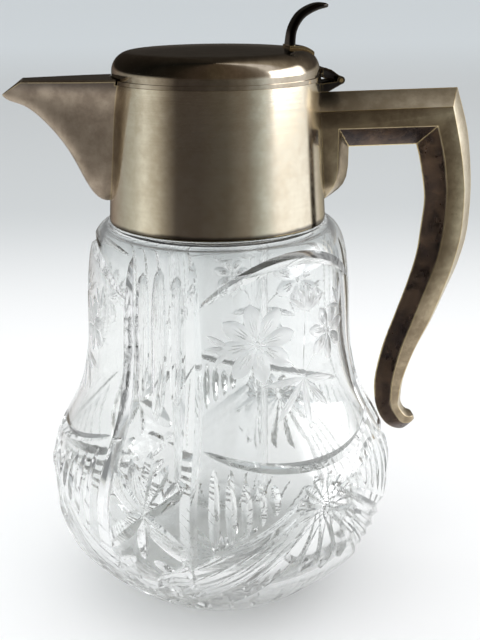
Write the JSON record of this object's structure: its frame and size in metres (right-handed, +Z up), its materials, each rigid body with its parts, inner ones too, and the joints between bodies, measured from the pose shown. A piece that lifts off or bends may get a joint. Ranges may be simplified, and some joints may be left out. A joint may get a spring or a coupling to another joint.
{
  "type": "ice jug",
  "caption": "Waisted cut-glass ice jug with a silver-plated collar, beak spout, angular bevelled handle, hinged domed lid with a thumb lever, and a hanging glass ice tube.",
  "frame": {"origin": "centre of the glass foot's flat underside", "axes": "+Z up along the jug axis, +X towards the handle, -X towards the spout"},
  "size_m": [0.234, 0.177, 0.3001],
  "materials": {
    "cut_glass": "polished lead crystal with deep mitre cuts and matt engraved flowers",
    "clear_glass": "plain clear blown glass",
    "plaster": "set plaster",
    "satin_silver": "satin silver plate with fine turning scratches and warm tarnish",
    "polished_silver": "polished silver plate with warm tarnish",
    "worn_silver": "polished silver plate worn to brass along the edges",
    "dark_silver": "dark polished cast metal",
    "brass_pin": "turned brass"
  },
  "bodies": {
    "jug": {"glass_body": "cut_glass", "neck_cement": "plaster", "collar_sleeve": "satin_silver", "collar_rim_ring": "satin_silver", "insert_ledge": "satin_silver", "strainer_plate": "satin_silver", "spout_shell": "polished_silver", "spout_cover": "polished_silver", "handle_near_half": "worn_silver", "handle_far_half": "worn_silver", "handle_scroll": "worn_silver", "hinge_collar_leaf": "dark_silver", "hinge_pin": "brass_pin"},
    "insert": {"insert_ring": "satin_silver", "ice_tube": "clear_glass"},
    "lid": {"lid_dome": "polished_silver", "lid_rim_wire": "polished_silver", "lid_band": "satin_silver", "hinge_lid_leaf": "dark_silver", "lever_foot": "worn_silver", "thumb_lever": "dark_silver"}
  },
  "joints": [
    {"name": "lid_hinge", "type": "hinge", "parent": "jug", "child": "lid", "pos_m": [0.06, 0, 0.2632], "axis": [0, 1, 0], "range_deg": [0, 95]},
    {"name": "insert_lift", "type": "slide", "parent": "jug", "child": "insert", "axis": [0, 0, 1], "range_m": [0, 0.01]}
  ]
}
